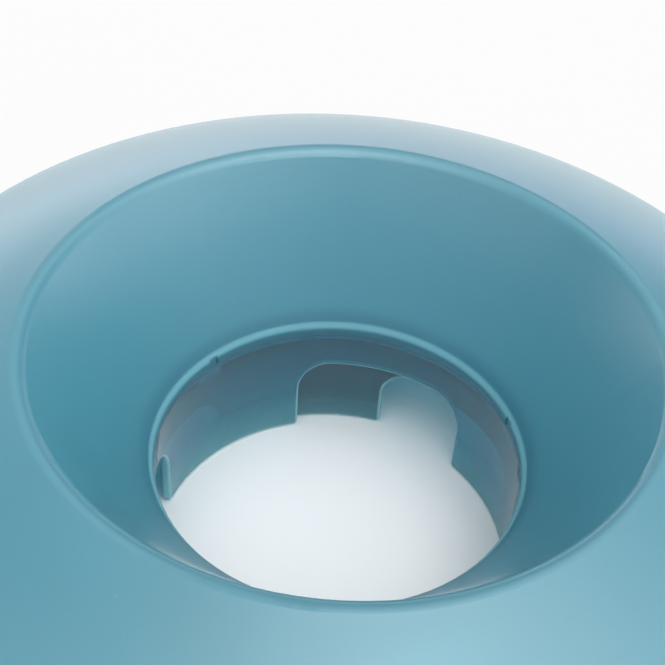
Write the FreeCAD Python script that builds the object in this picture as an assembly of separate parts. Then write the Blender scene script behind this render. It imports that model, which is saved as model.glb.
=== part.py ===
import FreeCAD, Part
import math
import os

# Rocking slow feeder bowl, in millimetres. Z is up, the axis of the bowl is the Z axis,
# and the lowest point of the anti-slip ring stands on Z = 0.
# Angles are counted from +X towards +Y, so 90 degrees is the far side of the bowl.

# Levels
FLOOR_Z = 21.0
FOOT_GAP = 0.4
FOOT_Z = FLOOR_Z + FOOT_GAP
NECK_RISE = 35.8
RIM_RISE = 58.4
SHOULDER_RISE = 72.5
NECK_Z = FOOT_Z + NECK_RISE
RIM_Z = FOOT_Z + RIM_RISE

# Funnel top, a thin moulding whose visible side is drawn and whose back is offset from it
RIM_R = 115.0
RIM_ROUND = 1.2
LIP_DROP = 5.2
SHOULDER_CENTRE = (72.95, FOOT_Z + SHOULDER_RISE)
SHOULDER_ROUND = 3.5
FLANGE_START_SLOPE = 16.5
FUNNEL_WALL = 2.2
BEAD_ROUND = 3.0
NECK_R = 44.3
BEAD_CENTRE = (NECK_R + BEAD_ROUND, NECK_Z)
SKIRT_R = 44.9
SKIRT_WALL = 2.6
SKIRT_OUTER_R = SKIRT_R + SKIRT_WALL
NOTCH_WIDTH = 2.6
NOTCH_DEPTH = 0.55

# Openings, three alike at equal steps round the skirt and round the ring
SECTORS = 3
SECTOR_STEP = 360.0 / SECTORS
ARCH_SPAN = 60.0
ARCH_ROUND = 9.0
SKIRT_ARCH_CENTRE = 75.0
SKIRT_ARCH_RISE = 23.0
SKIRT_EDGE_ROUND = 0.9
FOOT_CORNER_ROUND = 1.3

# Portion ring, which turns on the outside of the skirt
RING_SETTING = 29.0
RING_PLAY = 0.06
RING_GAP = 0.4
RING_R = SKIRT_OUTER_R + RING_GAP
RING_WALL = 2.0
RING_OUTER_R = RING_R + RING_WALL
RING_TOP_GAP = 0.2
RING_TOP_Z = NECK_Z - RING_TOP_GAP
RING_ARCH_CENTRE = SKIRT_ARCH_CENTRE - RING_SETTING
RING_ARCH_RISE = 20.4
RING_EDGE_ROUND = 0.7
RING_BEAD = 1.0
RING_BEAD_HEIGHT = 1.4
TURN_OPEN = RING_SETTING
TURN_SHUT = ARCH_SPAN - RING_SETTING

# Bayonet between the skirt and the ring
LUG_CENTRE = 139.0
LUG_SPAN = 9.5
LUG_Z = FOOT_Z + 29.4
LUG_HEIGHT = 3.5
LUG_REACH = 1.9
SLOT_PLAY = 0.4
SLOT_END_PLAY = 0.7
STOP_NIB_SPAN = 1.2
STOP_NIB_HEIGHT = 1.2
GUIDE_R = RING_R - RING_PLAY
GUIDE_BANDS = ((FOOT_Z + 2.2, 2.0), (FOOT_Z + 33.6, 1.5))
GUIDE_LEG_SPAN = 54.0

# Finger ribs on the outside of the ring
RIB_COUNT = 5
RIB_STEP = 3.6
RIB_WIDTH = 1.3
RIB_PROUD = 1.1
RIB_Z = FOOT_Z + 6.0
RIB_HEIGHT = 19.0

# Rocking base: both white mouldings share one sphere outside
SPHERE_R = 120.0
TREAD_PROUD = 0.8
TREAD_FLAT_R = 25.0
SPHERE_Z = math.sqrt((SPHERE_R + TREAD_PROUD) ** 2 - TREAD_FLAT_R ** 2)
SPHERE_CENTRE = (0.0, SPHERE_Z)
BOWL_WALL = 2.4
BOWL_INNER_R = SPHERE_R - BOWL_WALL
BOWL_CORNER_ROUND = 14.0
BOWL_RIM_Z = 77.0
BOWL_RIM_BAND = 1.0
FLOOR_UNDER_Z = FLOOR_Z - BOWL_WALL
SOCKET_R = 60.9

# Rocker cap, which closes the ballast chamber from below
CAP_R = 60.6
CAP_WALL = 3.0
CAP_INNER_R = SPHERE_R - CAP_WALL
CAP_TOP_GAP = 0.1
CAP_TOP_Z = FLOOR_UNDER_Z - CAP_TOP_GAP
CAP_UPSTAND = 2.8
CAP_HOLLOW_Z = 0.9
CAP_HOLLOW_INNER_Z = 3.6

# Anti-slip ring in its groove under the cap
TREAD_INNER_R = 21.0
TREAD_OUTER_R = 31.0
TREAD_DEPTH = 1.2
TREAD_EDGE = 0.4
TREAD_GROOVES = (27.0, 29.0)
TREAD_GROOVE_WIDTH = 0.6
TREAD_GROOVE_DEPTH = 0.35

# Seal between the bowl and the cap
CAP_SEAL_SECTION = 1.36
CAP_SEAL_Z = 16.7
CAP_SEAL_GROOVE_R = 59.5
CAP_SEAL_GROOVE_HEIGHT = 1.7

# Seal clipped over the rim of the bowl, under the flange
RIM_SEAL_BULB = 1.05
RIM_SEAL_GAP = 0.3
RIM_SEAL_FOOT = 0.7
RIM_SEAL_LEG = 0.7
RIM_SEAL_LEG_DROP = 3.6

# Steel ballast plates between two foam pads
BALLAST_R = 37.8
BALLAST_HOLE_R = 16.5
PLATE_THICKNESS = 4.0
PLATE_CHAMFER = 0.4
PAD_LOWER_Z = 7.2
PAD_LOWER_THICKNESS = 1.0
PAD_UPPER_THICKNESS = 1.2
PAD_R = 37.0
PAD_HOLE_R = 17.2
PLATES_Z = PAD_LOWER_Z + PAD_LOWER_THICKNESS
PAD_UPPER_Z = PLATES_Z + 2 * PLATE_THICKNESS
SEAT_RIBS = ((18.0, 20.0), (33.0, 35.0))
FENCE = (38.3, 40.1)
FENCE_TOP_Z = 13.0

# Cap screws
SCREW_COUNT = 4
SCREW_CIRCLE_R = 50.0
SCREW_FIRST = 45.0
SCREW_R = 1.45
SCREW_LENGTH = 7.0
SCREW_TIP = 1.6
SCREW_HEAD_R = 2.8
SCREW_HEAD_HEIGHT = 2.1
SCREW_RECESS = (0.7, 3.2, 1.2)
SEAT_Z = 12.6
WELL_R = 3.2
SCREW_CLEAR_R = 1.7
PILOT_R = 1.25
PILOT_ROOF = 1.1
PILOT_TOP_Z = FLOOR_Z - PILOT_ROOF
CAP_BOSS_R = 4.8
BOWL_BOSS_R = 3.8
BOSS_MEET_Z = 14.85
PLUG_GAP = 0.05
PLUG_SUNK = 0.25

UP = FreeCAD.Vector(0, 0, 1)
ORIGIN = FreeCAD.Vector(0, 0, 0)

# How far cutters run past the wall they cut, how deep joined solids share material,
# and how close two points, or a point and a wall, count as meeting
REACH = 10.0
LAP = 0.5
SAME_POINT = 1e-6
ON_WALL = 1e-3


def polar(centre, radius, degrees):
    """Return the point (r, z) on a circle of the r-z plane."""
    angle = math.radians(degrees)
    return (centre[0] + radius * math.cos(angle), centre[1] + radius * math.sin(angle))


def height_on(centre, radius, r):
    """Return z on the upper half of a circle of the r-z plane at the distance r."""
    return centre[1] + math.sqrt(radius ** 2 - (r - centre[0]) ** 2)


def sphere_z(radius, r):
    """Return z on the lower half of a sphere about the rocking centre."""
    return SPHERE_Z - math.sqrt(radius ** 2 - r ** 2)


def sphere_angle(radius, r):
    """Return the direction, in degrees, from the rocking centre to that point."""
    return -math.degrees(math.acos(r / radius))


class Outline:
    """A closed outline in the r-z half plane, drawn in order and turned about Z."""

    def __init__(self):
        self.edges = []
        self.first = None
        self.last = None

    def to(self, r, z):
        """Draw a straight edge to (r, z)."""
        point = FreeCAD.Vector(r, 0, z)
        if self.last is None:
            self.first = point
        elif self.last.distanceToPoint(point) > SAME_POINT:
            self.edges.append(Part.LineSegment(self.last, point).toShape())
        self.last = point
        return self

    def arc(self, centre, radius, start, end):
        """Draw to the arc's start, then the arc, between two directions in degrees."""
        self.to(*polar(centre, radius, start))
        middle = polar(centre, radius, (start + end) / 2)
        finish = polar(centre, radius, end)
        through = FreeCAD.Vector(middle[0], 0, middle[1])
        stop = FreeCAD.Vector(finish[0], 0, finish[1])
        self.edges.append(Part.Arc(self.last, through, stop).toShape())
        self.last = stop
        return self

    def turned(self, centre=0.0, span=360.0):
        """Return the solid swept about Z through span degrees round the centre angle."""
        self.to(self.first.x, self.first.z)
        face = Part.Face(Part.Wire(self.edges))
        solid = face.revolve(ORIGIN, UP, span)
        if span < 360.0:
            solid.rotate(ORIGIN, UP, centre - span / 2)
        if solid.Volume < 0:
            solid.reverse()
        return solid


def band(r_in, r_out, z_low, z_high, centre=0.0, span=360.0):
    """Return a plain ring, or a sector of one."""
    outline = Outline().to(r_in, z_low).to(r_out, z_low).to(r_out, z_high).to(r_in, z_high)
    return outline.turned(centre, span)


def pillar(radius, z_low, z_high, circle_r=0.0, degrees=0.0):
    """Return an upright cylinder standing at a place on a circle."""
    at = polar((0.0, 0.0), circle_r, degrees)
    return Part.makeCylinder(radius, z_high - z_low, FreeCAD.Vector(at[0], at[1], z_low), UP)


def around(make, first, count):
    """Return one shape from make(angle) for each of count equal steps."""
    return [make(first + i * 360.0 / count) for i in range(count)]


def united(solids):
    """Return the solids joined into one, without the seams between them."""
    return solids[0].fuse(solids[1:]).removeSplitter()


def grouped(solids):
    """Return separate solids as one compound for a shared node."""
    return Part.makeCompound(solids)


def arch_cutter(wall_r, centre, rise):
    """Return a cutter for one arch whose sides and round corners all point at the axis."""
    tilt = math.degrees(math.atan(ARCH_ROUND / wall_r))
    spring_z = FOOT_Z + rise - ARCH_ROUND
    near, far = wall_r - REACH / 2, wall_r + REACH / 2
    slope = ARCH_ROUND / wall_r
    legs = band(near, far, FOOT_Z - REACH, spring_z, centre, ARCH_SPAN)
    crown = Outline().to(near, spring_z - LAP).to(far, spring_z - LAP)
    crown.to(far, spring_z + slope * far).to(near, spring_z + slope * near)
    cutter = legs.fuse(crown.turned(centre, ARCH_SPAN - 2 * tilt))
    for side in (-1, 1):
        degrees = centre + side * (ARCH_SPAN / 2 - tilt)
        start = polar((0.0, 0.0), near, degrees)
        ahead = polar((0.0, 0.0), 1.0, degrees)
        corner = Part.makeCone(slope * near, slope * far, far - near,
                               FreeCAD.Vector(start[0], start[1], spring_z),
                               FreeCAD.Vector(ahead[0], ahead[1], 0))
        cutter = cutter.fuse(corner)
    return cutter


def cut_arches(tube, inner_r, outer_r, centre, rise, edge_round):
    """Cut the arches into a tube, then round the corners of its feet and both its edges."""
    wall_r = (inner_r + outer_r) / 2
    tube = tube.cut(around(lambda angle: arch_cutter(wall_r, angle, rise), centre, SECTORS))

    def radius_of(point):
        return math.hypot(point.x, point.y)

    def on_foot_corner(edge):
        ends = [v.Point for v in edge.Vertexes]
        low = all(abs(p.z - FOOT_Z) < SAME_POINT for p in ends)
        across = abs(radius_of(ends[0]) - radius_of(ends[-1])) > (outer_r - inner_r) / 2
        return low and across

    def on_lower_edge(edge, r):
        ends = [v.Point for v in edge.Vertexes] + [edge.CenterOfMass]
        on_wall = all(abs(radius_of(v.Point) - r) < ON_WALL for v in edge.Vertexes)
        low = all(p.z < FOOT_Z + rise + LAP for p in ends)
        return on_wall and low

    corners = [e for e in tube.Edges if on_foot_corner(e)]
    tube = tube.makeFillet(FOOT_CORNER_ROUND, corners)
    for r in (inner_r, outer_r):
        edges = [e for e in tube.Edges if on_lower_edge(e, r)]
        tube = tube.makeFillet(edge_round, edges)
    return tube


class FlangeLines:
    """The directions and the large arc of the flange, worked out to be tangent all along."""

    def __init__(self):
        across = SHOULDER_CENTRE[0] - BEAD_CENTRE[0]
        rise = SHOULDER_CENTRE[1] - BEAD_CENTRE[1]
        lean = math.degrees(math.atan2(rise, across))
        open_by = math.acos((BEAD_ROUND - SHOULDER_ROUND) / math.hypot(across, rise))
        self.cone_normal = lean + math.degrees(open_by)
        self.start_normal = 90.0 - FLANGE_START_SLOPE
        self.rim_centre = (RIM_R - RIM_ROUND, RIM_Z - RIM_ROUND / 2)
        q = (SHOULDER_CENTRE[0] - self.rim_centre[0], SHOULDER_CENTRE[1] - self.rim_centre[1])
        normal = polar((0.0, 0.0), 1.0, self.start_normal)
        along = q[0] * normal[0] + q[1] * normal[1]
        top = q[0] ** 2 + q[1] ** 2 + SHOULDER_ROUND ** 2 - RIM_ROUND ** 2
        self.radius = (top + 2 * SHOULDER_ROUND * along) / (2 * (along + SHOULDER_ROUND - RIM_ROUND))
        self.centre = polar(SHOULDER_CENTRE, SHOULDER_ROUND - self.radius, self.start_normal)
        self.end_normal = math.degrees(math.atan2(self.rim_centre[1] - self.centre[1],
                                                  self.rim_centre[0] - self.centre[0]))

    def under_z(self, r):
        """Return z of the flange's underside at the distance r."""
        return height_on(self.centre, self.radius - FUNNEL_WALL, r)


FLANGE = FlangeLines()


def funnel_skirt():
    """The upright tube of the funnel with its arches, below the bead."""
    top_z = NECK_Z - BEAD_ROUND
    tube = band(SKIRT_R, SKIRT_OUTER_R, FOOT_Z, top_z)
    return cut_arches(tube, SKIRT_R, SKIRT_OUTER_R, SKIRT_ARCH_CENTRE, SKIRT_ARCH_RISE,
                      SKIRT_EDGE_ROUND)


def funnel_upper():
    """Bead, funnel wall, shoulder, flange and down-turned lip, turned as one moulding."""
    lip_r = RIM_R - FUNNEL_WALL
    lip_round = FUNNEL_WALL / 2
    lip_centre = (RIM_R - lip_round, RIM_Z - LIP_DROP + lip_round)
    under = FLANGE.radius - FUNNEL_WALL
    lip_top = FLANGE.under_z(lip_r)
    lip_angle = math.degrees(math.atan2(lip_top - FLANGE.centre[1], lip_r - FLANGE.centre[0]))
    bead_start = 180.0 + math.degrees(math.acos((BEAD_CENTRE[0] - SKIRT_R) / BEAD_ROUND))
    skirt_top_z = NECK_Z - BEAD_ROUND
    back = polar(SHOULDER_CENTRE, SHOULDER_ROUND - FUNNEL_WALL, FLANGE.cone_normal)
    cone_slope = math.tan(math.radians(FLANGE.cone_normal - 90.0))
    outline = Outline().to(SKIRT_R, skirt_top_z)
    outline.arc(BEAD_CENTRE, BEAD_ROUND, bead_start, FLANGE.cone_normal)
    outline.arc(SHOULDER_CENTRE, SHOULDER_ROUND, FLANGE.cone_normal, FLANGE.start_normal)
    outline.arc(FLANGE.centre, FLANGE.radius, FLANGE.start_normal, FLANGE.end_normal)
    outline.arc(FLANGE.rim_centre, RIM_ROUND, FLANGE.end_normal, 0.0)
    outline.arc(lip_centre, lip_round, 0.0, -180.0)
    outline.arc(FLANGE.centre, under, lip_angle, FLANGE.start_normal)
    outline.arc(SHOULDER_CENTRE, SHOULDER_ROUND - FUNNEL_WALL, FLANGE.start_normal,
                FLANGE.cone_normal)
    outline.to(SKIRT_OUTER_R, back[1] - (back[0] - SKIRT_OUTER_R) * cone_slope)
    outline.to(SKIRT_OUTER_R, skirt_top_z)
    return outline.turned()


def funnel_top():
    """The translucent top: funnel, flange and skirt with its three bayonet lugs."""
    solids = [funnel_upper(), funnel_skirt()]
    inside = SKIRT_OUTER_R - LAP
    legs_only = around(
        lambda angle: band(inside, GUIDE_R, GUIDE_BANDS[0][0], sum(GUIDE_BANDS[0]),
                           angle, GUIDE_LEG_SPAN),
        SKIRT_ARCH_CENTRE + SECTOR_STEP / 2, SECTORS)
    lugs = around(
        lambda angle: band(inside, SKIRT_OUTER_R + LUG_REACH, LUG_Z, LUG_Z + LUG_HEIGHT,
                           angle, LUG_SPAN),
        LUG_CENTRE, SECTORS)
    collar = band(inside, GUIDE_R, GUIDE_BANDS[1][0], sum(GUIDE_BANDS[1]))
    top = united(solids + legs_only + lugs + [collar])

    def notch(angle):
        span = math.degrees(NOTCH_WIDTH / NECK_R)
        return band(NECK_R - LAP, NECK_R + NOTCH_DEPTH, NECK_Z - BEAD_ROUND, NECK_Z + BEAD_ROUND,
                    angle, span)

    return top.cut(around(notch, LUG_CENTRE, SECTORS))


def portion_ring():
    """The turning ring: three arches, three bayonet slots, a top bead and finger ribs."""
    tube = band(RING_R, RING_OUTER_R, FOOT_Z, RING_TOP_Z)
    tube = cut_arches(tube, RING_R, RING_OUTER_R, RING_ARCH_CENTRE, RING_ARCH_RISE,
                      RING_EDGE_ROUND)
    solid_centre = RING_ARCH_CENTRE + SECTOR_STEP / 2
    ribs = []
    for i in range(RIB_COUNT):
        offset = (i - (RIB_COUNT - 1) / 2) * RIB_STEP
        ribs += around(
            lambda angle: band(RING_OUTER_R - LAP, RING_OUTER_R + RIB_PROUD, RIB_Z,
                               RIB_Z + RIB_HEIGHT, angle + offset,
                               math.degrees(RIB_WIDTH / RING_OUTER_R)),
            solid_centre, SECTORS)
    bead = band(RING_OUTER_R - LAP, RING_OUTER_R + RING_BEAD, RING_TOP_Z - RING_BEAD_HEIGHT,
                RING_TOP_Z)
    ring = united([tube, bead] + ribs)

    low_z = LUG_Z - SLOT_PLAY
    high_z = LUG_Z + LUG_HEIGHT + SLOT_PLAY
    near, far = RING_R - LAP, RING_OUTER_R + REACH / 2
    run = LUG_SPAN + TURN_OPEN + TURN_SHUT + 2 * SLOT_END_PLAY
    run_centre = LUG_CENTRE + (TURN_SHUT - TURN_OPEN) / 2
    entry = LUG_SPAN + 2 * SLOT_END_PLAY
    nib_centre = run_centre + (run + STOP_NIB_SPAN) / 2
    entry_centre = nib_centre + (STOP_NIB_SPAN + entry) / 2

    def slot(angle):
        travel = band(near, far, low_z, high_z, angle, run)
        past_nib = band(near, far, low_z + STOP_NIB_HEIGHT, high_z,
                        angle + nib_centre - run_centre, STOP_NIB_SPAN + LAP)
        mouth = band(near, far, low_z, RING_TOP_Z + LAP, angle + entry_centre - run_centre, entry)
        return united([travel, past_nib, mouth])

    return ring.cut(around(slot, run_centre, SECTORS))


def rim_seal():
    """Soft seal clipped over the bowl's rim, with a bulb just under the flange."""
    outer = math.sqrt(SPHERE_R ** 2 - (SPHERE_Z - BOWL_RIM_Z + BOWL_RIM_BAND) ** 2)
    inner = bowl_rim_inner()
    bulb_r = (inner + outer) / 2
    reach = FLANGE.radius - FUNNEL_WALL - RIM_SEAL_GAP - RIM_SEAL_BULB
    bulb = (bulb_r, height_on(FLANGE.centre, reach, bulb_r))
    foot_z = BOWL_RIM_Z + RIM_SEAL_FOOT
    leg_r = inner - RIM_SEAL_LEG
    outline = Outline().to(inner, BOWL_RIM_Z).to(outer, BOWL_RIM_Z).to(outer, foot_z)
    outline.to(bulb_r + RIM_SEAL_BULB, foot_z)
    outline.arc(bulb, RIM_SEAL_BULB, 0.0, 180.0)
    outline.to(bulb_r - RIM_SEAL_BULB, foot_z).to(leg_r, foot_z)
    outline.to(leg_r, BOWL_RIM_Z - RIM_SEAL_LEG_DROP).to(inner, BOWL_RIM_Z - RIM_SEAL_LEG_DROP)
    return outline.turned()


def bowl_rim_inner():
    """Return the inner radius of the bowl's upright rim band."""
    band_z = BOWL_RIM_Z - RIM_SEAL_LEG_DROP
    return math.sqrt(BOWL_INNER_R ** 2 - (SPHERE_Z - band_z) ** 2)


def base_bowl():
    """White bowl: flat floor, round corner, spherical wall, rim band and screw bosses."""
    corner_z = FLOOR_Z + BOWL_CORNER_ROUND
    centre_gap = BOWL_INNER_R - BOWL_CORNER_ROUND
    corner = (math.sqrt(centre_gap ** 2 - (SPHERE_Z - corner_z) ** 2), corner_z)
    tangent = math.degrees(math.atan2(corner_z - SPHERE_Z, corner[0]))
    band_z = BOWL_RIM_Z - BOWL_RIM_BAND
    outer = math.sqrt(SPHERE_R ** 2 - (SPHERE_Z - band_z) ** 2)
    inner = bowl_rim_inner()
    outline = Outline().to(0.0, FLOOR_Z).arc(corner, BOWL_CORNER_ROUND, -90.0, tangent)
    outline.arc(SPHERE_CENTRE, BOWL_INNER_R, tangent, sphere_angle(BOWL_INNER_R, inner))
    outline.to(inner, BOWL_RIM_Z).to(outer, BOWL_RIM_Z)
    outline.arc(SPHERE_CENTRE, SPHERE_R, sphere_angle(SPHERE_R, outer),
                sphere_angle(SPHERE_R, SOCKET_R))
    outline.to(SOCKET_R, FLOOR_UNDER_Z).to(0.0, FLOOR_UNDER_Z)
    bosses = around(
        lambda angle: pillar(BOWL_BOSS_R, BOSS_MEET_Z + PLUG_GAP, FLOOR_UNDER_Z + LAP,
                             SCREW_CIRCLE_R, angle),
        SCREW_FIRST, SCREW_COUNT)
    ribs = [band(low, high, PAD_UPPER_Z + PAD_UPPER_THICKNESS, FLOOR_UNDER_Z + LAP)
            for low, high in SEAT_RIBS]
    pilots = around(
        lambda angle: pillar(PILOT_R, BOSS_MEET_Z - LAP, PILOT_TOP_Z, SCREW_CIRCLE_R, angle),
        SCREW_FIRST, SCREW_COUNT)
    return united([outline.turned()] + bosses + ribs).cut(pilots)


def rocker_cap():
    """White cap that closes the chamber: groove for the tread, seal groove, fence and bosses."""
    groove_r = SPHERE_R - TREAD_DEPTH
    upstand_r = CAP_R - CAP_UPSTAND
    seal_low = CAP_SEAL_Z - CAP_SEAL_GROOVE_HEIGHT / 2
    seal_high = CAP_SEAL_Z + CAP_SEAL_GROOVE_HEIGHT / 2
    flat_r = math.sqrt(CAP_INNER_R ** 2 - (SPHERE_Z - CAP_HOLLOW_INNER_Z) ** 2)
    outline = Outline().to(0.0, CAP_HOLLOW_Z).to(TREAD_INNER_R, CAP_HOLLOW_Z)
    outline.arc(SPHERE_CENTRE, groove_r, sphere_angle(groove_r, TREAD_INNER_R),
                sphere_angle(groove_r, TREAD_OUTER_R))
    outline.arc(SPHERE_CENTRE, SPHERE_R, sphere_angle(SPHERE_R, TREAD_OUTER_R),
                sphere_angle(SPHERE_R, CAP_R))
    outline.to(CAP_R, seal_low).to(CAP_SEAL_GROOVE_R, seal_low)
    outline.to(CAP_SEAL_GROOVE_R, seal_high).to(CAP_R, seal_high)
    outline.to(CAP_R, CAP_TOP_Z).to(upstand_r, CAP_TOP_Z)
    outline.arc(SPHERE_CENTRE, CAP_INNER_R, sphere_angle(CAP_INNER_R, upstand_r),
                sphere_angle(CAP_INNER_R, flat_r))
    outline.to(0.0, CAP_HOLLOW_INNER_Z)
    shell = outline.turned()
    rings = [band(low, high, sphere_z(SPHERE_R, high) + LAP, PAD_LOWER_Z) for low, high in SEAT_RIBS]
    fence = band(FENCE[0], FENCE[1], sphere_z(SPHERE_R, FENCE[1]) + LAP, FENCE_TOP_Z)
    boss_z = sphere_z(SPHERE_R, SCREW_CIRCLE_R + CAP_BOSS_R) + LAP
    bosses = around(
        lambda angle: pillar(CAP_BOSS_R, boss_z, BOSS_MEET_Z, SCREW_CIRCLE_R, angle),
        SCREW_FIRST, SCREW_COUNT)
    wells = around(
        lambda angle: pillar(WELL_R, 0.0, SEAT_Z, SCREW_CIRCLE_R, angle),
        SCREW_FIRST, SCREW_COUNT)
    holes = around(
        lambda angle: pillar(SCREW_CLEAR_R, 0.0, BOSS_MEET_Z + LAP, SCREW_CIRCLE_R, angle),
        SCREW_FIRST, SCREW_COUNT)
    return united([shell, fence] + rings + bosses).cut(wells + holes)


def anti_slip_ring():
    """Soft tread: a narrow flat to rest on, then the sphere, with two grip grooves."""
    outer_r = SPHERE_R + TREAD_PROUD
    ceiling_r = SPHERE_R - TREAD_DEPTH
    edge_r = TREAD_OUTER_R - TREAD_EDGE
    outline = Outline().to(TREAD_INNER_R, TREAD_EDGE).to(TREAD_INNER_R + TREAD_EDGE, 0.0)
    outline.arc(SPHERE_CENTRE, outer_r, sphere_angle(outer_r, TREAD_FLAT_R),
                sphere_angle(outer_r, edge_r))
    outline.to(TREAD_OUTER_R, sphere_z(SPHERE_R, TREAD_OUTER_R))
    outline.arc(SPHERE_CENTRE, ceiling_r, sphere_angle(ceiling_r, TREAD_OUTER_R),
                sphere_angle(ceiling_r, TREAD_INNER_R))
    half = TREAD_GROOVE_WIDTH / 2
    grooves = [band(r - half, r + half, -LAP, sphere_z(outer_r, r) + TREAD_GROOVE_DEPTH)
               for r in TREAD_GROOVES]
    return outline.turned().cut(grooves)


def ballast_plate(level):
    """One stamped steel ring of the ballast; level counts up from the lower one."""
    z = PLATES_Z + level * PLATE_THICKNESS
    plate = band(BALLAST_HOLE_R, BALLAST_R, z, z + PLATE_THICKNESS)
    rims = [e for e in plate.Edges if len(e.Vertexes) == 1]
    return plate.makeChamfer(PLATE_CHAMFER, rims)


def foam_pad(z, thickness):
    """A foam washer that keeps the ballast from rattling."""
    return band(PAD_HOLE_R, PAD_R, z, z + thickness)


def cap_seal():
    """O-ring between the cap and the bowl."""
    centre_r = CAP_SEAL_GROOVE_R + CAP_SEAL_SECTION / 2 + PLUG_GAP / 2
    return Part.makeTorus(centre_r, CAP_SEAL_SECTION / 2, FreeCAD.Vector(0, 0, CAP_SEAL_Z), UP)


def cap_screw(angle):
    """One pan-head tapping screw, driven from below, with a cross recess."""
    at = polar((0.0, 0.0), SCREW_CIRCLE_R, angle)
    head_z = SEAT_Z - SCREW_HEAD_HEIGHT
    head = pillar(SCREW_HEAD_R, head_z, SEAT_Z, SCREW_CIRCLE_R, angle)
    rim = [e for e in head.Edges if abs(e.CenterOfMass.z - head_z) < SAME_POINT]
    head = head.makeFillet(SCREW_HEAD_HEIGHT / 2, rim)
    shank_top = SEAT_Z + SCREW_LENGTH - SCREW_TIP
    shank = pillar(SCREW_R, SEAT_Z - LAP, shank_top, SCREW_CIRCLE_R, angle)
    tip = Part.makeCone(SCREW_R, SCREW_R / 2, SCREW_TIP,
                        FreeCAD.Vector(at[0], at[1], shank_top), UP)
    width, length, depth = SCREW_RECESS
    cross = []
    for wide, deep in ((width, length), (length, width)):
        corner = FreeCAD.Vector(at[0] - wide / 2, at[1] - deep / 2, head_z - LAP)
        cross.append(Part.makeBox(wide, deep, depth + LAP, corner))
    return united([head, shank, tip]).cut(cross)


def screw_plug(angle):
    """One soft plug that fills a screw well and follows the sphere, slightly sunk."""
    plug = pillar(WELL_R - PLUG_GAP, 0.0, SEAT_Z - SCREW_HEAD_HEIGHT - PLUG_GAP,
                  SCREW_CIRCLE_R, angle)
    rocker = Part.makeSphere(SPHERE_R - PLUG_SUNK, FreeCAD.Vector(0, 0, SPHERE_Z))
    return plug.common(rocker)


NODES = {
    "funnel_top": funnel_top,
    "portion_ring": portion_ring,
    "rim_seal": rim_seal,
    "base_bowl": base_bowl,
    "rocker_cap": rocker_cap,
    "anti_slip_ring": anti_slip_ring,
    "ballast_plate_lower": lambda: ballast_plate(0),
    "ballast_plate_upper": lambda: ballast_plate(1),
    "ballast_pad_lower": lambda: foam_pad(PAD_LOWER_Z, PAD_LOWER_THICKNESS),
    "ballast_pad_upper": lambda: foam_pad(PAD_UPPER_Z, PAD_UPPER_THICKNESS),
    "cap_seal": cap_seal,
    "cap_screws": lambda: grouped(around(cap_screw, SCREW_FIRST, SCREW_COUNT)),
    "screw_plugs": lambda: grouped(around(screw_plug, SCREW_FIRST, SCREW_COUNT)),
}

os.makedirs("parts", exist_ok=True)
for node, make in NODES.items():
    shape = make()
    box = shape.BoundBox
    print(f"{node}: {len(shape.Solids)} solid(s), valid {shape.isValid()}, "
          f"{shape.Volume / 1000:.2f} cm3, z {box.ZMin:.2f} to {box.ZMax:.2f}")
    shape.exportStep(f"parts/{node}.step")
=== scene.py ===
"""Rocking slow feeder bowl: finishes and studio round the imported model, in metres, Z up."""

import logging
import math
from dataclasses import dataclass
from enum import Enum
from typing import Callable, Mapping

import bpy
from mathutils import Matrix, Vector


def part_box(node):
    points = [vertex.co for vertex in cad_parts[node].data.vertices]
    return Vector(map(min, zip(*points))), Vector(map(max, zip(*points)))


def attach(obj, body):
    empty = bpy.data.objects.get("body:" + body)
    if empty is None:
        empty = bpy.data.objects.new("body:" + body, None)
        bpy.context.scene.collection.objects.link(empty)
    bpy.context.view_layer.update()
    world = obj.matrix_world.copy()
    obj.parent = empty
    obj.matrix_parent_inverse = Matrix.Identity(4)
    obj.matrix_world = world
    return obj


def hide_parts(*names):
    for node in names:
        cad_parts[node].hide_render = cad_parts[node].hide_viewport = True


LOG = logging.getLogger("feeder_bowl")
MM = 0.001

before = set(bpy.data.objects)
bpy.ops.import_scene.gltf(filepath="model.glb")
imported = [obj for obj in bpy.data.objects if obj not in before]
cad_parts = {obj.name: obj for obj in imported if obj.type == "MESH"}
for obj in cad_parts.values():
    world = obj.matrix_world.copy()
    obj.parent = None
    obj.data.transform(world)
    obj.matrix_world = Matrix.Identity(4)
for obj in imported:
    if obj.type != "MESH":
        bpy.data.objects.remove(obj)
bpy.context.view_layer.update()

Colour = tuple[float, float, float, float]
Point = tuple[float, float, float]
WHITE: Colour = (1.0, 1.0, 1.0, 1.0)


class Body(Enum):
    """The record's body that the new pieces ride on."""

    BASE = "base"


class Slot(Enum):
    """The record's material slot for the new pieces, which nothing here assigns."""

    FOAM = "foam"


def linear(hex_colour: str) -> Colour:
    """Turn an sRGB hex colour into the linear RGBA that shaders take.

    Args:
        hex_colour: six hex digits, with or without a leading hash.

    Returns:
        Red, green, blue and an alpha of one, all linear.
    """
    digits = hex_colour.lstrip("#")
    out = []
    for i in range(0, 6, 2):
        value = int(digits[i:i + 2], 16) / 255.0
        out.append(value / 12.92 if value <= 0.04045 else ((value + 0.055) / 1.055) ** 2.4)
    return (out[0], out[1], out[2], 1.0)


def add_node(tree: bpy.types.NodeTree, kind: str, inputs: Mapping | None = None,
             **settings) -> bpy.types.Node:
    """Add one shader node with its settings, values and links.

    Args:
        tree: the node tree to add to.
        kind: the node's type name.
        inputs: socket name or index to a plain value or to another node's output socket.
        **settings: attributes of the node itself.

    Returns:
        The new node.
    """
    node = tree.nodes.new(kind)
    for name, value in settings.items():
        setattr(node, name, value)
    for name, value in (inputs or {}).items():
        if isinstance(value, bpy.types.NodeSocket):
            tree.links.new(value, node.inputs[name])
        else:
            node.inputs[name].default_value = value
    return node


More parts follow.
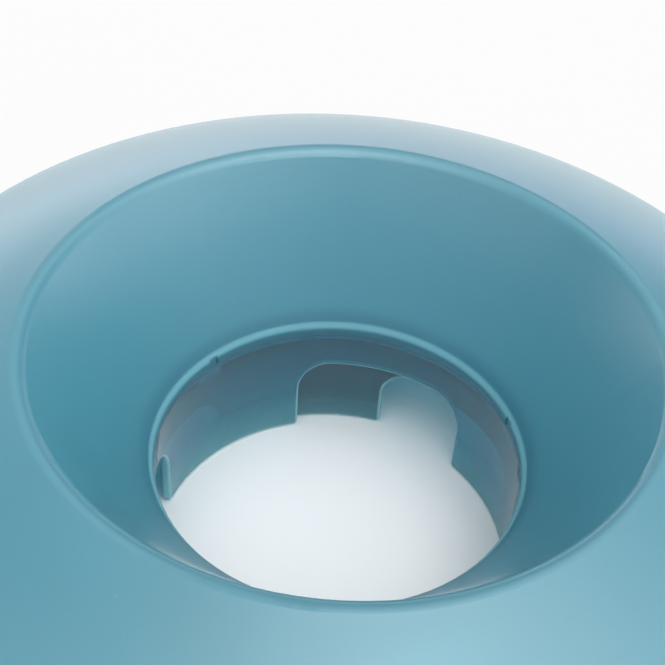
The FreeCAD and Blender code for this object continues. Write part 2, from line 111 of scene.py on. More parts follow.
def new_material(name: str) -> tuple[bpy.types.Material, bpy.types.NodeTree, bpy.types.NodeSocket]:
    """Start an empty material.

    Args:
        name: the material's name.

    Returns:
        The material, its tree and the piece's own coordinates.
    """
    mat = bpy.data.materials.new(name)
    mat.use_nodes = True
    tree = mat.node_tree
    tree.nodes.clear()
    place = add_node(tree, "ShaderNodeTexCoord")
    return mat, tree, place.outputs["Object"]


def dress(node: str, finish: bpy.types.Material) -> None:
    """Put a finish on every slot of a CAD node.

    Args:
        node: the node's name.
        finish: its material.
    """
    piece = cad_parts[node]
    for slot in piece.material_slots:
        slot.material = finish
    LOG.info("%s: %s on %d faces", node, finish.name, len(piece.data.polygons))


@dataclass(frozen=True)
class Arches:
    """The three openings of a tube, so that the painted glow can follow their edges."""

    wall_r: float
    centre: float
    rise: float
    span: float = 60.0
    corner: float = 9.0 * MM
    foot_z: float = 21.4 * MM
    step: float = 120.0

    def away(self, tree: bpy.types.NodeTree, place: bpy.types.NodeSocket) -> bpy.types.NodeSocket:
        """Add the distance from the nearest arch or from the tube's foot.

        Args:
            tree: the material's tree.
            place: the piece's own coordinates.

        Returns:
            The distance along the wall, in metres.
        """
        at = add_node(tree, "ShaderNodeSeparateXYZ", {"Vector": place})
        turn = add_node(tree, "ShaderNodeMath", {0: at.outputs["Y"], 1: at.outputs["X"]},
                        operation="ARCTAN2")
        off = add_node(tree, "ShaderNodeMath", {0: turn.outputs[0], 1: math.radians(self.centre)},
                       operation="SUBTRACT")
        near = add_node(tree, "ShaderNodeMath", {0: off.outputs[0], 1: math.radians(self.step / 2),
                                                 2: -math.radians(self.step / 2)},
                        operation="WRAP")
        side = add_node(tree, "ShaderNodeMath", {0: near.outputs[0]}, operation="ABSOLUTE")
        across = add_node(tree, "ShaderNodeMath",
                          {0: side.outputs[0], 1: self.wall_r,
                           2: self.corner - math.radians(self.span / 2) * self.wall_r},
                          operation="MULTIPLY_ADD")
        up = add_node(tree, "ShaderNodeMath",
                      {0: at.outputs["Z"], 1: self.foot_z + self.rise - self.corner},
                      operation="SUBTRACT")
        both = add_node(tree, "ShaderNodeCombineXYZ", {"X": across.outputs[0],
                                                       "Y": up.outputs[0]})
        past = add_node(tree, "ShaderNodeVectorMath", {0: both.outputs[0], 1: (0.0, 0.0, 0.0)},
                        operation="MAXIMUM")
        reach = add_node(tree, "ShaderNodeVectorMath", {0: past.outputs["Vector"]},
                         operation="LENGTH")
        arch = add_node(tree, "ShaderNodeMath", {0: reach.outputs["Value"], 1: self.corner},
                        operation="SUBTRACT")
        foot = add_node(tree, "ShaderNodeMath", {0: at.outputs["Z"], 1: self.foot_z},
                        operation="SUBTRACT")
        return add_node(tree, "ShaderNodeMath", {0: arch.outputs[0], 1: foot.outputs[0]},
                        operation="MINIMUM").outputs[0]


@dataclass(frozen=True)
class Where:
    """Sockets that say where on a moulding the shaded point lies."""

    place: bpy.types.NodeSocket
    radius: bpy.types.NodeSocket
    height: bpy.types.NodeSocket
    section: bpy.types.NodeSocket
    above: bpy.types.NodeSocket


@dataclass(frozen=True)
class FrostedCopolymer:
    """Injection-moulded translucent copolymer.

    The funnel has a fine spark-eroded skin, so it looks matt and milky. Below the neck the
    mould is polished, so the skirt looks wet and what stands behind it shows through. A painted
    glow, brighter and greener than the faces, lies along the edges and the crest of the neck's
    bead, for light that runs inside the wall and comes out there. Painted shade darkens the
    funnel towards the neck and round the bead, and painted light brightens the skirt's foot.
    """

    name: str
    arches: Arches
    # Colours: the flange; the funnel near the neck, a little darker as painted shade; the skirt,
    # and its foot with painted light where the white floor shines in; the painted shade round the
    # bead; the painted glow of the edges; and the pale use marks
    tint: str = "#6ec6da"
    tint_low_shaded: str = "#6ac0d5"
    tint_skirt: str = "#2aa9c5"
    tint_foot_floor_light: str = "#70c3d0"
    tint_bead_shade: str = "#2b93b1"
    tint_edge_glow: str = "#aaeaf2"
    tint_scuff: str = "#c4e3ea"
    # Places on the moulding
    low_r: float = 46.0 * MM
    high_r: float = 74.0 * MM
    foot_z: float = 21.4 * MM
    neck_z: float = 54.4 * MM
    neck_blend: float = 0.8 * MM
    bead: Point = (47.3 * MM, 57.2 * MM, 0.0)
    crest: Point = (44.95 * MM, 59.05 * MM, 0.0)
    # Reach, core and strength of what lies along them
    floor_light_reach: float = 12.0 * MM
    bead_shade_reach: float = 7.0 * MM
    bead_shade_core: float = 0.4
    bead_shade_share: float = 0.45
    edge: float = 1.1 * MM
    edge_core: float = 0.25
    edge_share: float = 0.7
    crest_width: float = 1.5 * MM
    crest_core: float = 0.3
    crest_share: float = 0.42
    # Skin: the spark-eroded grain is about 0.03 mm and is drawn coarser, so that it shows
    matt: float = 0.34
    matt_low: float = 0.58
    polished: float = 0.06
    spread: float = 0.02
    grain_mm: float = 0.4
    # Body of the plastic, and the smoother skin that the flange has and the funnel loses
    milky: float = 0.66
    glassy: float = 0.88
    glassy_foot: float = 0.5
    ior: float = 1.56
    coat: float = 1.0
    coat_low: float = 0.12
    coat_r: float = 55.0 * MM
    coat_roughness: float = 0.26
    # Use marks: specks far apart, and hairlines drawn coarser than the real 0.05 mm ones
    speck_mm: float = 11.0
    speck_r: float = 0.022
    speck_blur: float = 1.5
    speck_share: float = 0.35
    scuff_mm: float = 1.1
    scuff_stretch: float = 40.0
    scuff_turn: Point = (0.4, 0.9, 0.3)
    scuff_level: float = 0.80
    scuff_rise: float = 0.04
    scuff_share: float = 0.25

    def build(self) -> bpy.types.Material:
        """Build the material and return it."""
        mat, tree, place = new_material(self.name)
        at = self.where(tree, place)
        lit = self.lit(tree, at)
        # Painted glow: edges, foot and bead crest are painted lighter and greener than the faces
        glow = add_node(tree, "ShaderNodeMix", {"Factor": lit, "A": self.body(tree, at),
                                                "B": linear(self.tint_edge_glow)}, data_type="RGBA")
        colour = add_node(tree, "ShaderNodeMix",
                          {"Factor": self.marks(tree, at), "A": glow.outputs["Result"],
                           "B": linear(self.tint_scuff)}, data_type="RGBA")
        shader = add_node(tree, "ShaderNodeBsdfPrincipled",
                          {"Base Color": colour.outputs["Result"],
                           "Roughness": self.skin(tree, at),
                           "Transmission Weight": self.depth(tree, at, lit), "IOR": self.ior,
                           "Coat Weight": self.sheen(tree, at),
                           "Coat Roughness": self.coat_roughness})
        add_node(tree, "ShaderNodeOutputMaterial", {"Surface": shader.outputs["BSDF"]})
        return mat

    def skin(self, tree: bpy.types.NodeTree, at: Where) -> bpy.types.NodeSocket:
        """Add the roughness: matt above the neck with a fine grain, polished below it.

        Args:
            tree: the material's tree.
            at: where the point lies.

        Returns:
            The roughness.
        """
        cone = add_node(tree, "ShaderNodeMapRange",
                        {"Value": at.radius, "From Min": self.low_r, "From Max": self.high_r,
                         "To Min": self.matt_low, "To Max": self.matt})
        wall = add_node(tree, "ShaderNodeMapRange", {"Value": at.above, "To Min": self.polished,
                                                     "To Max": cone.outputs["Result"]})
        grain = add_node(tree, "ShaderNodeTexNoise",
                         {"Vector": at.place, "Scale": 1.0 / (self.grain_mm * MM),
                          "Detail": 2.0})
        speckle = add_node(tree, "ShaderNodeMapRange",
                           {"Value": grain.outputs["Fac"], "To Min": -self.spread,
                            "To Max": self.spread})
        return add_node(tree, "ShaderNodeMath",
                        {0: speckle.outputs["Result"], 1: at.above, 2: wall.outputs["Result"]},
                        operation="MULTIPLY_ADD").outputs[0]

    def depth(self, tree: bpy.types.NodeTree, at: Where,
              lit: bpy.types.NodeSocket) -> bpy.types.NodeSocket:
        """Add how far one sees into the wall: milky above the neck, clearer below it.

        Args:
            tree: the material's tree.
            at: where the point lies.
            lit: the mask of the painted glow, whose lines hide what lies behind them.

        Returns:
            The share of light that goes through.
        """
        tube = add_node(tree, "ShaderNodeMapRange",
                        {"Value": at.height, "From Min": self.foot_z, "From Max": self.neck_z,
                         "To Min": self.glassy_foot, "To Max": self.glassy})
        see = add_node(tree, "ShaderNodeMapRange", {"Value": at.above,
                                                    "To Min": tube.outputs["Result"],
                                                    "To Max": self.milky})
        dense = add_node(tree, "ShaderNodeMath", {0: 1.0, 1: lit}, operation="SUBTRACT")
        return add_node(tree, "ShaderNodeMath", {0: see.outputs["Result"], 1: dense.outputs[0]},
                        operation="MULTIPLY").outputs[0]

    def sheen(self, tree: bpy.types.NodeTree, at: Where) -> bpy.types.NodeSocket:
        """Add the weight of the smoother skin, full on the flange and none on the skirt.

        Args:
            tree: the material's tree.
            at: where the point lies.

        Returns:
            The coat's weight.
        """
        out = add_node(tree, "ShaderNodeMapRange",
                       {"Value": at.radius, "From Min": self.coat_r, "From Max": self.high_r,
                        "To Min": self.coat_low, "To Max": self.coat},
                       interpolation_type="SMOOTHSTEP")
        return add_node(tree, "ShaderNodeMath", {0: at.above, 1: out.outputs["Result"]},
                        operation="MULTIPLY").outputs[0]

    def where(self, tree: bpy.types.NodeTree, place: bpy.types.NodeSocket) -> Where:
        """Add the nodes that say where a point lies.

        Args:
            tree: the material's tree.
            place: the piece's own coordinates.

        Returns:
            Its place, distance from the axis, height, place in the section, and one above the
            neck or nothing below it.
        """
        flat = add_node(tree, "ShaderNodeMapping", {"Vector": place, "Scale": (1.0, 1.0, 0.0)})
        out = add_node(tree, "ShaderNodeVectorMath", {0: flat.outputs[0]}, operation="LENGTH")
        height = add_node(tree, "ShaderNodeSeparateXYZ", {"Vector": place})
        section = add_node(tree, "ShaderNodeCombineXYZ", {"X": out.outputs["Value"],
                                                          "Y": height.outputs["Z"]})
        above = add_node(tree, "ShaderNodeMapRange",
                         {"Value": height.outputs["Z"], "From Min": self.neck_z - self.neck_blend,
                          "From Max": self.neck_z + self.neck_blend})
        return Where(place, out.outputs["Value"], height.outputs["Z"], section.outputs[0],
                     above.outputs["Result"])

    def body(self, tree: bpy.types.NodeTree, at: Where) -> bpy.types.NodeSocket:
        """Add the wall's colour with painted shade towards the neck and round the bead, and
        painted light at the skirt's foot.

        Args:
            tree: the material's tree.
            at: where the point lies.

        Returns:
            The colour.
        """
        # Painted shade: the funnel darkens from the flange towards the neck
        along = add_node(tree, "ShaderNodeMapRange",
                         {"Value": at.radius, "From Min": self.low_r, "From Max": self.high_r})
        cone = add_node(tree, "ShaderNodeMix",
                        {"Factor": along.outputs["Result"], "A": linear(self.tint_low_shaded),
                         "B": linear(self.tint)}, data_type="RGBA")
        # Painted light: the skirt is lighter at its foot, where the white floor shines in
        low = add_node(tree, "ShaderNodeMapRange",
                       {"Value": at.height, "From Min": self.foot_z,
                        "From Max": self.foot_z + self.floor_light_reach})
        tube = add_node(tree, "ShaderNodeMix",
                        {"Factor": low.outputs["Result"], "A": linear(self.tint_foot_floor_light),
                         "B": linear(self.tint_skirt)}, data_type="RGBA")
        wall = add_node(tree, "ShaderNodeMix",
                        {"Factor": at.above, "A": tube.outputs["Result"],
                         "B": cone.outputs["Result"]}, data_type="RGBA")
        # Painted shade round the neck's bead
        away = add_node(tree, "ShaderNodeVectorMath", {0: at.section, 1: self.bead},
                        operation="DISTANCE")
        deep = add_node(tree, "ShaderNodeMapRange",
                        {"Value": away.outputs["Value"], "From Min": self.bead_shade_reach,
                         "From Max": self.bead_shade_core * self.bead_shade_reach,
                         "To Max": self.bead_shade_share},
                        interpolation_type="SMOOTHSTEP")
        return add_node(tree, "ShaderNodeMix",
                        {"Factor": deep.outputs["Result"], "A": wall.outputs["Result"],
                         "B": linear(self.tint_bead_shade)}, data_type="RGBA").outputs["Result"]

    def lit(self, tree: bpy.types.NodeTree, at: Where) -> bpy.types.NodeSocket:
        """Add the mask of the painted glow along the edges, foot and crest.

        Args:
            tree: the material's tree.
            at: where the point lies.

        Returns:
            Nearly one on such a line, nothing away from it.
        """
        edge = add_node(tree, "ShaderNodeMapRange",
                        {"Value": self.arches.away(tree, at.place), "From Min": self.edge,
                         "From Max": self.edge_core * self.edge, "To Max": self.edge_share},
                        interpolation_type="SMOOTHSTEP")
        below = add_node(tree, "ShaderNodeMath", {0: 1.0, 1: at.above}, operation="SUBTRACT")
        lines = add_node(tree, "ShaderNodeMath", {0: edge.outputs["Result"], 1: below.outputs[0]},
                         operation="MULTIPLY")
        away = add_node(tree, "ShaderNodeVectorMath", {0: at.section, 1: self.crest},
                        operation="DISTANCE")
        crest = add_node(tree, "ShaderNodeMapRange",
                         {"Value": away.outputs["Value"], "From Min": self.crest_width,
                          "From Max": self.crest_core * self.crest_width,
                          "To Max": self.crest_share},
                         interpolation_type="SMOOTHSTEP")
        return add_node(tree, "ShaderNodeMath", {0: lines.outputs[0],
                                                 1: crest.outputs["Result"]},
                        operation="MAXIMUM").outputs[0]

    def marks(self, tree: bpy.types.NodeTree, at: Where) -> bpy.types.NodeSocket:
        """Add the mask of the few specks and hairline scuffs that use leaves on the funnel.

        Args:
            tree: the material's tree.
            at: where the point lies.

        Returns:
            A faint share on a mark, nothing elsewhere.
        """
        cells = add_node(tree, "ShaderNodeTexVoronoi",
                         {"Vector": at.place, "Scale": 1.0 / (self.speck_mm * MM)})
        speck = add_node(tree, "ShaderNodeMapRange",
                         {"Value": cells.outputs["Distance"],
                          "From Min": self.speck_blur * self.speck_r,
                          "From Max": self.speck_r, "To Max": self.speck_share})
        combed = add_node(tree, "ShaderNodeMapping",
                          {"Vector": at.place, "Rotation": self.scuff_turn,
                           "Scale": (1.0, 1.0, 1.0 / self.scuff_stretch)})
        hair = add_node(tree, "ShaderNodeTexNoise",
                        {"Vector": combed.outputs[0], "Scale": 1.0 / (self.scuff_mm * MM),
                         "Detail": 1.0})
        scuff = add_node(tree, "ShaderNodeMapRange",
                         {"Value": hair.outputs["Fac"], "From Min": self.scuff_level,
                          "From Max": self.scuff_level + self.scuff_rise,
                          "To Max": self.scuff_share})
        both = add_node(tree, "ShaderNodeMath", {0: speck.outputs["Result"],
                                                 1: scuff.outputs["Result"]},
                        operation="MAXIMUM")
        return add_node(tree, "ShaderNodeMath", {0: both.outputs[0], 1: at.above},
                        operation="MULTIPLY").outputs[0]


@dataclass(frozen=True)
class MouldedPolymer:
    """Opaque or cloudy moulded polymer: polypropylene, thermoplastic elastomer or silicone.

    Its broad satin shine comes from a lightly textured mould. A faint cloud in the colour and
    a fine grain keep large faces from looking printed. The real grain is about 0.05 mm and is
    drawn coarser, so that it shows.
    """

    name: str
    colour: str
    shade: str
    roughness: float = 0.32
    spread: float = 0.04
    ior: float = 1.5
    grain_mm: float = 0.5
    cloud_mm: float = 45.0
    bump: float = 0.05
    relief: float = 0.05 * MM
    clear: float = 0.0

    def build(self) -> bpy.types.Material:
        """Build the material and return it."""
        mat, tree, place = new_material(self.name)
        cloud = add_node(tree, "ShaderNodeTexNoise",
                         {"Vector": place, "Scale": 1.0 / (self.cloud_mm * MM), "Detail": 3.0})
        colour = add_node(tree, "ShaderNodeMix",
                          {"Factor": cloud.outputs["Fac"], "A": linear(self.colour),
                           "B": linear(self.shade)}, data_type="RGBA")
        grain = add_node(tree, "ShaderNodeTexNoise",
                         {"Vector": place, "Scale": 1.0 / (self.grain_mm * MM), "Detail": 2.0})
        rough = add_node(tree, "ShaderNodeMapRange",
                         {"Value": grain.outputs["Fac"], "To Min": self.roughness - self.spread,
                          "To Max": self.roughness + self.spread})
        bump = add_node(tree, "ShaderNodeBump",
                        {"Height": grain.outputs["Fac"], "Strength": self.bump,
                         "Distance": self.relief})
        shader = add_node(tree, "ShaderNodeBsdfPrincipled",
                          {"Base Color": colour.outputs["Result"],
                           "Roughness": rough.outputs["Result"], "IOR": self.ior,
                           "Transmission Weight": self.clear, "Normal": bump.outputs["Normal"]})
        add_node(tree, "ShaderNodeOutputMaterial", {"Surface": shader.outputs["BSDF"]})
        return mat


@dataclass(frozen=True)
class ZincPlatedSteel:
    """Cold-rolled steel, stamped and zinc plated.

    It gives a cool grey with a soft shine and fine rolling lines, drawn wider than the real
    0.02 mm ones, so that they show.
    """

    name: str
    colour: str = "#c3c6c9"
    shade: str = "#a9adb2"
    roughness: float = 0.34
    spread: float = 0.08
    line_mm: float = 0.4
    stretch: float = 40.0

    def build(self) -> bpy.types.Material:
        """Build the material and return it."""
        mat, tree, place = new_material(self.name)
        rolled = add_node(tree, "ShaderNodeMapping",
                          {"Vector": place, "Scale": (1.0, 1.0 / self.stretch, 1.0)})
        lines = add_node(tree, "ShaderNodeTexNoise",
                         {"Vector": rolled.outputs[0], "Scale": 1.0 / (self.line_mm * MM),
                          "Detail": 2.0})
        colour = add_node(tree, "ShaderNodeMix",
                          {"Factor": lines.outputs["Fac"], "A": linear(self.colour),
                           "B": linear(self.shade)}, data_type="RGBA")
        rough = add_node(tree, "ShaderNodeMapRange",
                         {"Value": lines.outputs["Fac"], "To Min": self.roughness - self.spread,
                          "To Max": self.roughness + self.spread})
        shader = add_node(tree, "ShaderNodeBsdfPrincipled",
                          {"Base Color": colour.outputs["Result"],
                           "Roughness": rough.outputs["Result"], "Metallic": 1.0})
        add_node(tree, "ShaderNodeOutputMaterial", {"Surface": shader.outputs["BSDF"]})
        return mat


@dataclass(frozen=True)
class ClosedCellFoam:
    """Die-cut closed-cell polyethylene foam: charcoal and dull, with small open cut cells."""

    name: str = "closed_cell_polyethylene_foam"
    colour: str = "#3a3b3e"
    wall: str = "#4b4d51"
    cell_mm: float = 0.6
    roughness: float = 0.85
    bump: float = 0.5
    relief: float = 0.15 * MM

    def build(self) -> bpy.types.Material:
        """Build the material and return it."""
        mat, tree, place = new_material(self.name)
        cells = add_node(tree, "ShaderNodeTexVoronoi",
                         {"Vector": place, "Scale": 1.0 / (self.cell_mm * MM)})
        colour = add_node(tree, "ShaderNodeMix",
                          {"Factor": cells.outputs["Distance"], "A": linear(self.colour),
                           "B": linear(self.wall)}, data_type="RGBA")
        bump = add_node(tree, "ShaderNodeBump",
                        {"Height": cells.outputs["Distance"], "Strength": self.bump,
                         "Distance": self.relief})
        shader = add_node(tree, "ShaderNodeBsdfPrincipled",
                          {"Base Color": colour.outputs["Result"],
                           "Roughness": self.roughness, "Normal": bump.outputs["Normal"]})
        add_node(tree, "ShaderNodeOutputMaterial", {"Surface": shader.outputs["BSDF"]})
        return mat


@dataclass
class FeedingTop:
    """The frosted funnel with its skirt, and the portion ring that turns on it."""

    # One plastic; the ring stands in the funnel's shade, so its tube is tinted deeper
    funnel: FrostedCopolymer = FrostedCopolymer("frosted_teal_copolymer_funnel",
                                                Arches(46.2 * MM, 75.0, 23.0 * MM))
    ring: FrostedCopolymer = FrostedCopolymer("frosted_teal_copolymer_ring",
                                              Arches(48.9 * MM, 46.0, 20.4 * MM),
                                              tint_skirt="#367f93", tint_foot_floor_light="#68acba",
                                              floor_light_reach=10.0 * MM)

    def build(self) -> None:
        """Dress both mouldings."""
        dress("funnel_top", self.funnel.build())
        dress("portion_ring", self.ring.build())


@dataclass
class RockingBase:
    """The white bowl and the cap that closes its ballast chamber."""

    # Satin white, so that the inner floor stays evenly bright without a hard shine
    plastic: MouldedPolymer = MouldedPolymer("satin_white_polypropylene", "#f8fafb", "#f4f7f9")

    def build(self) -> None:
        """Dress both mouldings."""
        white = self.plastic.build()
        dress("base_bowl", white)
        dress("rocker_cap", white)


@dataclass
class SoftParts:
    """Tread, screw plugs and both seals."""

    # The elastomer is dull and dry, the silicone wet-looking and half clear
    grey: MouldedPolymer = MouldedPolymer("grey_thermoplastic_elastomer", "#7c8489", "#747c82",
                                          roughness=0.6, bump=0.12)
    clear: MouldedPolymer = MouldedPolymer("clear_silicone", "#dfe7ea", "#d5dfe3", roughness=0.3,
                                           ior=1.41, clear=0.6)

    def build(self) -> None:
        """Dress the soft mouldings."""
        grey = self.grey.build()
        for node in ("anti_slip_ring", "screw_plugs", "cap_seal"):
            dress(node, grey)
        dress("rim_seal", self.clear.build())


@dataclass
class Ballast:
    """Two stamped steel rings between two die-cut foam pads, and the screws below them."""

    # The plates show rolling lines; the screws are cold-headed, so their grain has no way
    steel: ZincPlatedSteel = ZincPlatedSteel("zinc_plated_rolled_steel")
    screw_steel: ZincPlatedSteel = ZincPlatedSteel("zinc_plated_screw_steel", line_mm=0.15,
                                                   stretch=1.0, roughness=0.28)
    foam: ClosedCellFoam = ClosedCellFoam()
    pad_width: float = 19.8 * MM
    turns: int = 96
    rows: int = 3
    dish: float = 0.1 * MM
    edge: float = 0.16 * MM
    edge_steps: int = 2
    weld: float = 0.001 * MM
    side_slack: float = 0.0001 * MM
    middle_share: float = 0.4
    side_share: float = 0.9
    smooth_angle: float = 32.0

    def build(self) -> None:
        """Dress the steel and cut the pads."""
        steel = self.steel.build()
        dress("ballast_plate_lower", steel)
        dress("ballast_plate_upper", steel)
        dress("cap_screws", self.screw_steel.build())
        foam = self.foam.build()
        for node in ("ballast_pad_lower", "ballast_pad_upper"):
            self.pad(node, foam)

    def pad(self, node: str, foam: bpy.types.Material) -> bpy.types.Object:
        """Cut one foam washer whose edges the die has left slightly hollow.

        Args:
            node: the CAD node whose place it takes.
            foam: its material.

        Returns:
            The pad.
        """
        low, high = (Vector(corner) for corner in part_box(node))
        centre = Vector((high.x - self.pad_width / 2, 0.0, (low.z + high.z) / 2))
        thick = high.z - low.z
        bpy.ops.object.select_all(action="DESELECT")
        bpy.ops.mesh.primitive_plane_add(size=1.0, location=centre,
                                         rotation=(math.pi / 2, 0.0, 0.0))
        piece = bpy.context.active_object
        piece.name = f"{node}_foam"
        bpy.ops.transform.resize(value=(self.pad_width, 1.0, thick))
        bpy.ops.object.transform_apply(location=True, rotation=True, scale=True)
        bpy.ops.object.mode_set(mode="EDIT")
        bpy.ops.mesh.select_all(action="SELECT")
        bpy.ops.mesh.bevel(offset=self.edge, segments=self.edge_steps, affect="VERTICES")
        bpy.ops.mesh.delete(type="ONLY_FACE")
        half = self.pad_width / 2
        self.pick(piece, lambda at: abs(abs(at.x - centre.x) - half) < self.side_slack)
        bpy.ops.mesh.subdivide(number_cuts=self.rows)
        straight = thick - 2 * self.edge
        self.pick(piece, lambda at: abs(at.z - centre.z) < self.middle_share * straight
                  and abs(at.x - centre.x) > self.side_share * half)
        bpy.ops.transform.resize(value=(1.0 - self.dish / half, 1.0, 1.0),
                                 center_override=centre)
        bpy.ops.mesh.select_all(action="SELECT")
        bpy.ops.mesh.spin(steps=self.turns, angle=2 * math.pi, center=(0.0, 0.0, 0.0),
                          axis=(0.0, 0.0, 1.0))
        bpy.ops.mesh.select_all(action="SELECT")
        bpy.ops.mesh.remove_doubles(threshold=self.weld)
        bpy.ops.mesh.normals_make_consistent(inside=False)
        bpy.ops.object.mode_set(mode="OBJECT")
        bpy.ops.object.shade_smooth_by_angle(angle=math.radians(self.smooth_angle))
        piece.data.materials.append(foam)
        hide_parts(node)
        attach(piece, Body.BASE.value)
        LOG.info("%s: %.1f mm foam, %d faces", piece.name, thick / MM, len(piece.data.polygons))
        return piece

    @staticmethod
    def pick(piece: bpy.types.Object, wanted: Callable[[Vector], bool]) -> None:
        """Select the points of a piece in edit mode that a test accepts.

        Args:
            piece: the piece being edited.
            wanted: the test of a point's place.
        """
        bpy.ops.mesh.select_all(action="DESELECT")
        bpy.ops.object.mode_set(mode="OBJECT")
        for point in piece.data.vertices:
            point.select = wanted(point.co)
        bpy.ops.object.mode_set(mode="EDIT")


@dataclass(frozen=True)
class Glow:
    """One soft patch of the surround, brightest in its middle and gone at its edge."""

    name: str
    azimuth: float
    elevation: float
    strength: float
    half_width: float = 50.0

    def way(self) -> Point:
        """Return the direction that its middle lies in. Azimuth 0 is behind the bowl."""
        turn, lift = math.radians(self.azimuth), math.radians(self.elevation)
        return (math.sin(turn) * math.cos(lift), math.cos(turn) * math.cos(lift), math.sin(lift))


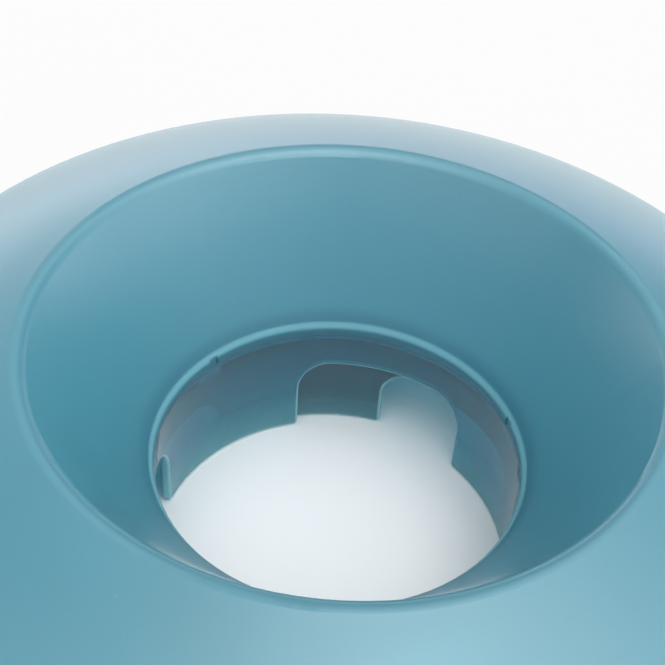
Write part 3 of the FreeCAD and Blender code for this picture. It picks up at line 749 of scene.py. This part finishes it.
@dataclass
class Studio:
    """Camera at the photograph's angle, pale floor and a soft bright surround."""

    rim_z: float = 79.8 * MM
    pitch: float = 42.603
    roll: float = 4.076
    place: Point = (-3.43 * MM, -212.03 * MM, 212.86 * MM)
    focal_px: float = 1300.0
    frame_px: float = 665.0
    sensor_mm: float = 36.0
    clip_start: float = 0.01
    # A floor just under the tread, so that their faces don't share a plane
    floor_r: float = 3.0
    floor_z: float = -0.05 * MM
    floor_sides: int = 96
    floor_tint: str = "#c9c9c9"
    glow_share: float = 0.65
    glow: float = 1.1
    # The backdrop's lower edge, which gloss and clear plastic see, is a cool white
    backdrop: float = 22.0
    backdrop_tint: str = "#f4efff"
    backdrop_level: float = 1.16
    glows: tuple[Glow, ...] = (
        Glow("overhead", 0.0, 90.0, 0.5, 26.0),
        Glow("overhead_back", 0.0, 62.0, 0.6, 40.0),
        Glow("overhead_back_right", 45.0, 62.0, 0.5, 40.0),
        Glow("overhead_right", 90.0, 62.0, 0.55, 40.0),
        Glow("overhead_front_right", 135.0, 62.0, 1.7, 40.0),
        Glow("overhead_front", 180.0, 62.0, 0.8, 40.0),
        Glow("overhead_left", 270.0, 62.0, 0.35, 40.0),
        Glow("back_middle", 0.0, 32.0, 0.15, 52.0),
        Glow("front_left_middle", 225.0, 32.0, 0.85, 52.0),
        Glow("right_low", 90.0, 4.0, 1.3, 52.0),
        Glow("front_right_low", 135.0, 4.0, 0.95, 52.0),
        Glow("back_left_low", 315.0, 4.0, 0.7, 52.0),
    )

    def build(self) -> None:
        """Make the camera, the floor and the surround."""
        bpy.context.scene.view_settings.view_transform = "Standard"
        self.camera()
        self.floor()
        self.world()

    def camera(self) -> bpy.types.Object:
        """Make the scene's camera and return it."""
        data = bpy.data.cameras.new("camera")
        data.sensor_width = self.sensor_mm
        data.lens = self.focal_px * self.sensor_mm / self.frame_px
        data.clip_start = self.clip_start
        cam = bpy.data.objects.new("camera", data)
        bpy.context.scene.collection.objects.link(cam)
        turn = (Matrix.Rotation(math.radians(90.0 - self.pitch), 4, "X")
                @ Matrix.Rotation(math.radians(self.roll), 4, "Z"))
        at = Matrix.Translation((self.place[0], self.place[1], self.place[2] + self.rim_z))
        cam.matrix_world = at @ turn
        bpy.context.scene.camera = cam
        return cam

    def seen(self, tree: bpy.types.NodeTree) -> bpy.types.NodeSocket:
        """Add the test for a ray from the camera, a gloss or a clear material.

        Args:
            tree: the tree to add it to.

        Returns:
            One for such a ray, else nothing.
        """
        path = add_node(tree, "ShaderNodeLightPath")
        either = add_node(tree, "ShaderNodeMath", {0: path.outputs["Is Camera Ray"],
                                                   1: path.outputs["Is Glossy Ray"]},
                          operation="MAXIMUM")
        any_of = add_node(tree, "ShaderNodeMath", {0: either.outputs[0],
                                                   1: path.outputs["Is Transmission Ray"]},
                          operation="MAXIMUM")
        return any_of.outputs[0]

    def floor(self) -> bpy.types.Object:
        """Make the pale floor, white to the camera, and return it."""
        bpy.ops.object.select_all(action="DESELECT")
        bpy.ops.mesh.primitive_circle_add(vertices=self.floor_sides, radius=self.floor_r,
                                          fill_type="NGON", location=(0.0, 0.0, self.floor_z))
        floor = bpy.context.active_object
        floor.name = "floor"
        mat, tree, _ = new_material("studio_floor")
        matte = add_node(tree, "ShaderNodeBsdfDiffuse", {"Color": linear(self.floor_tint)})
        glow = add_node(tree, "ShaderNodeEmission", {"Color": WHITE, "Strength": self.glow})
        share = add_node(tree, "ShaderNodeMath", {0: self.seen(tree), 1: self.glow_share},
                         operation="MULTIPLY")
        both = add_node(tree, "ShaderNodeMixShader",
                        {0: share.outputs[0], 1: matte.outputs[0], 2: glow.outputs[0]})
        add_node(tree, "ShaderNodeOutputMaterial", {"Surface": both.outputs[0]})
        floor.data.materials.append(mat)
        return floor

    def world(self) -> None:
        """Make the surround: soft patches of light, and white to the camera."""
        world = bpy.data.worlds.new("studio")
        bpy.context.scene.world = world
        world.use_nodes = True
        tree = world.node_tree
        tree.nodes.clear()
        way = add_node(tree, "ShaderNodeTexCoord").outputs["Generated"]
        path = add_node(tree, "ShaderNodeLightPath")
        patches = add_node(tree, "ShaderNodeBackground", {"Color": WHITE,
                                                          "Strength": self.patches(tree, way)})
        clear = add_node(tree, "ShaderNodeMath", {0: path.outputs["Is Glossy Ray"],
                                                  1: path.outputs["Is Transmission Ray"]},
                         operation="MAXIMUM")
        behind = add_node(tree, "ShaderNodeMath", {0: self.band(tree, way), 1: clear.outputs[0]},
                          operation="MULTIPLY")
        cool = add_node(tree, "ShaderNodeBackground", {"Color": linear(self.backdrop_tint),
                                                       "Strength": behind.outputs[0]})
        light = add_node(tree, "ShaderNodeAddShader", {0: patches.outputs[0], 1: cool.outputs[0]})
        white = add_node(tree, "ShaderNodeBackground", {"Color": WHITE})
        mix = add_node(tree, "ShaderNodeMixShader",
                       {0: path.outputs["Is Camera Ray"], 1: light.outputs[0],
                        2: white.outputs[0]})
        add_node(tree, "ShaderNodeOutputWorld", {"Surface": mix.outputs[0]})

    def patches(self, tree: bpy.types.NodeTree,
                way: bpy.types.NodeSocket) -> bpy.types.NodeSocket:
        """Add the sum of the soft patches.

        Args:
            tree: the world's tree.
            way: the direction of the ray.

        Returns:
            The strength of the light from there.
        """
        total = None
        for glow in self.glows:
            facing = add_node(tree, "ShaderNodeVectorMath", {0: way, 1: glow.way()},
                              operation="DOT_PRODUCT")
            patch = add_node(tree, "ShaderNodeMapRange",
                             {"Value": facing.outputs["Value"],
                              "From Min": math.cos(math.radians(glow.half_width)),
                              "To Max": glow.strength}, interpolation_type="SMOOTHSTEP")
            light = patch.outputs["Result"]
            total = light if total is None else add_node(tree, "ShaderNodeMath",
                                                         {0: total, 1: light}).outputs[0]
        return total

    def band(self, tree: bpy.types.NodeTree, way: bpy.types.NodeSocket) -> bpy.types.NodeSocket:
        """Add the backdrop's band, brightest at the horizon.

        Args:
            tree: the world's tree.
            way: the direction of the ray.

        Returns:
            The strength of the backdrop there.
        """
        level = add_node(tree, "ShaderNodeSeparateXYZ", {"Vector": way})
        return add_node(tree, "ShaderNodeMapRange",
                        {"Value": level.outputs["Z"],
                         "From Min": math.sin(math.radians(self.backdrop)), "From Max": 0.0,
                         "To Max": self.backdrop_level},
                        interpolation_type="SMOOTHSTEP").outputs["Result"]


def main() -> None:
    """Build the studio, then dress the object one sub-assembly at a time."""
    logging.basicConfig(level=logging.INFO)
    Studio().build()
    for part in (FeedingTop(), RockingBase(), SoftParts(), Ballast()):
        LOG.info("building %s", type(part).__name__)
        part.build()


if __name__ == "__main__":
    main()
